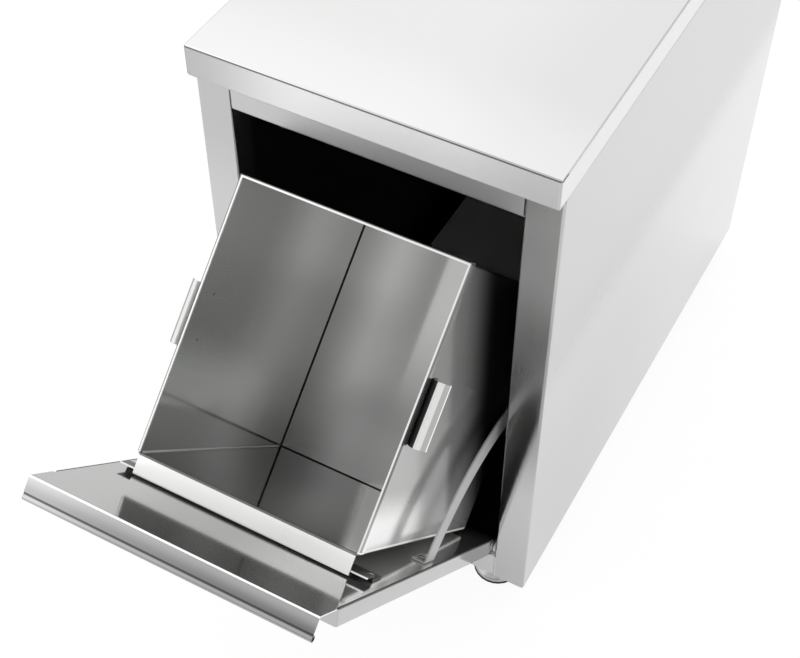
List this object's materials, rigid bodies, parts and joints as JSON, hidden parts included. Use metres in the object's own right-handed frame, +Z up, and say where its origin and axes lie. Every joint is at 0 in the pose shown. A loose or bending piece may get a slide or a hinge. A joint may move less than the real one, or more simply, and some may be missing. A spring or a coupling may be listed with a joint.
{
  "type": "waste bin cabinet",
  "caption": "Narrow stainless steel cabinet with a tilt-out front door that carries an open-topped lift-out waste bin on a hook rail, stopped by curved stay arms.",
  "frame": {"origin": "on the floor, under the middle of the whole box with the door open", "axes": "+X to the right seen from the front, +Y from the door towards the back panel, +Z up"},
  "size_m": [0.32, 0.8794, 0.57],
  "materials": {
    "brushed_steel": "fine brushed, satin",
    "bright_steel": "bright, near mirror",
    "black_rubber": "matt",
    "white_nylon": "plain moulded",
    "grey_foot": "smooth grey"
  },
  "bodies": {
    "cabinet": {"worktop": "brushed_steel", "left_side_panel": "brushed_steel", "right_side_panel": "brushed_steel", "back_panel": "brushed_steel", "back_rivet_1": "bright_steel", "back_rivet_2": "bright_steel", "back_rivet_3": "bright_steel", "back_rivet_4": "bright_steel", "back_rivet_5": "bright_steel", "back_rivet_6": "bright_steel", "back_rivet_7": "bright_steel", "back_rivet_8": "bright_steel", "floor_panel": "brushed_steel", "top_rail": "brushed_steel", "bottom_rail": "brushed_steel", "door_bumper_left": "black_rubber", "door_bumper_right": "black_rubber", "foot_nut_front_left": "bright_steel", "foot_nut_front_right": "bright_steel", "foot_nut_back_left": "bright_steel", "foot_nut_back_right": "bright_steel", "hinge_pin_left": "bright_steel", "hinge_pin_right": "bright_steel"},
    "door": {"door_outer_pan": "brushed_steel", "door_inner_skin": "brushed_steel", "bin_rail": "brushed_steel", "rail_screw_left": "bright_steel", "rail_screw_middle": "bright_steel", "rail_screw_right": "bright_steel", "stay_arm_left": "brushed_steel", "stay_arm_right": "brushed_steel", "arm_screw_left": "bright_steel", "arm_screw_right": "bright_steel", "hinge_bush_left": "white_nylon", "hinge_bush_right": "white_nylon", "bin_buffer_left": "black_rubber", "bin_buffer_right": "black_rubber"},
    "bin": {"bin_body": "bright_steel", "bin_handle_left": "bright_steel", "bin_handle_right": "bright_steel"},
    "front_left_foot": {"foot_front_left": "grey_foot", "foot_sole_front_left": "black_rubber"},
    "front_right_foot": {"foot_front_right": "grey_foot", "foot_sole_front_right": "black_rubber"},
    "back_left_foot": {"foot_back_left": "grey_foot", "foot_sole_back_left": "black_rubber"},
    "back_right_foot": {"foot_back_right": "grey_foot", "foot_sole_back_right": "black_rubber"}
  },
  "joints": [
    {"name": "door_tilt", "type": "hinge", "parent": "cabinet", "child": "door", "pos_m": [0, -0.1263, 0.0675], "axis": [-1, 0, 0], "range_deg": [0, 45]},
    {"name": "bin_lift", "type": "slide", "parent": "door", "child": "bin", "axis": [0, -0.6685, 0.7437], "range_m": [0, 0.12]},
    {"name": "front_left_foot_screw", "type": "slide", "parent": "cabinet", "child": "front_left_foot", "axis": [0, 0, -1], "range_m": [0, 0.012]},
    {"name": "front_right_foot_screw", "type": "slide", "parent": "cabinet", "child": "front_right_foot", "axis": [0, 0, -1], "range_m": [0, 0.012]},
    {"name": "back_left_foot_screw", "type": "slide", "parent": "cabinet", "child": "back_left_foot", "axis": [0, 0, -1], "range_m": [0, 0.012]},
    {"name": "back_right_foot_screw", "type": "slide", "parent": "cabinet", "child": "back_right_foot", "axis": [0, 0, -1], "range_m": [0, 0.012]}
  ]
}
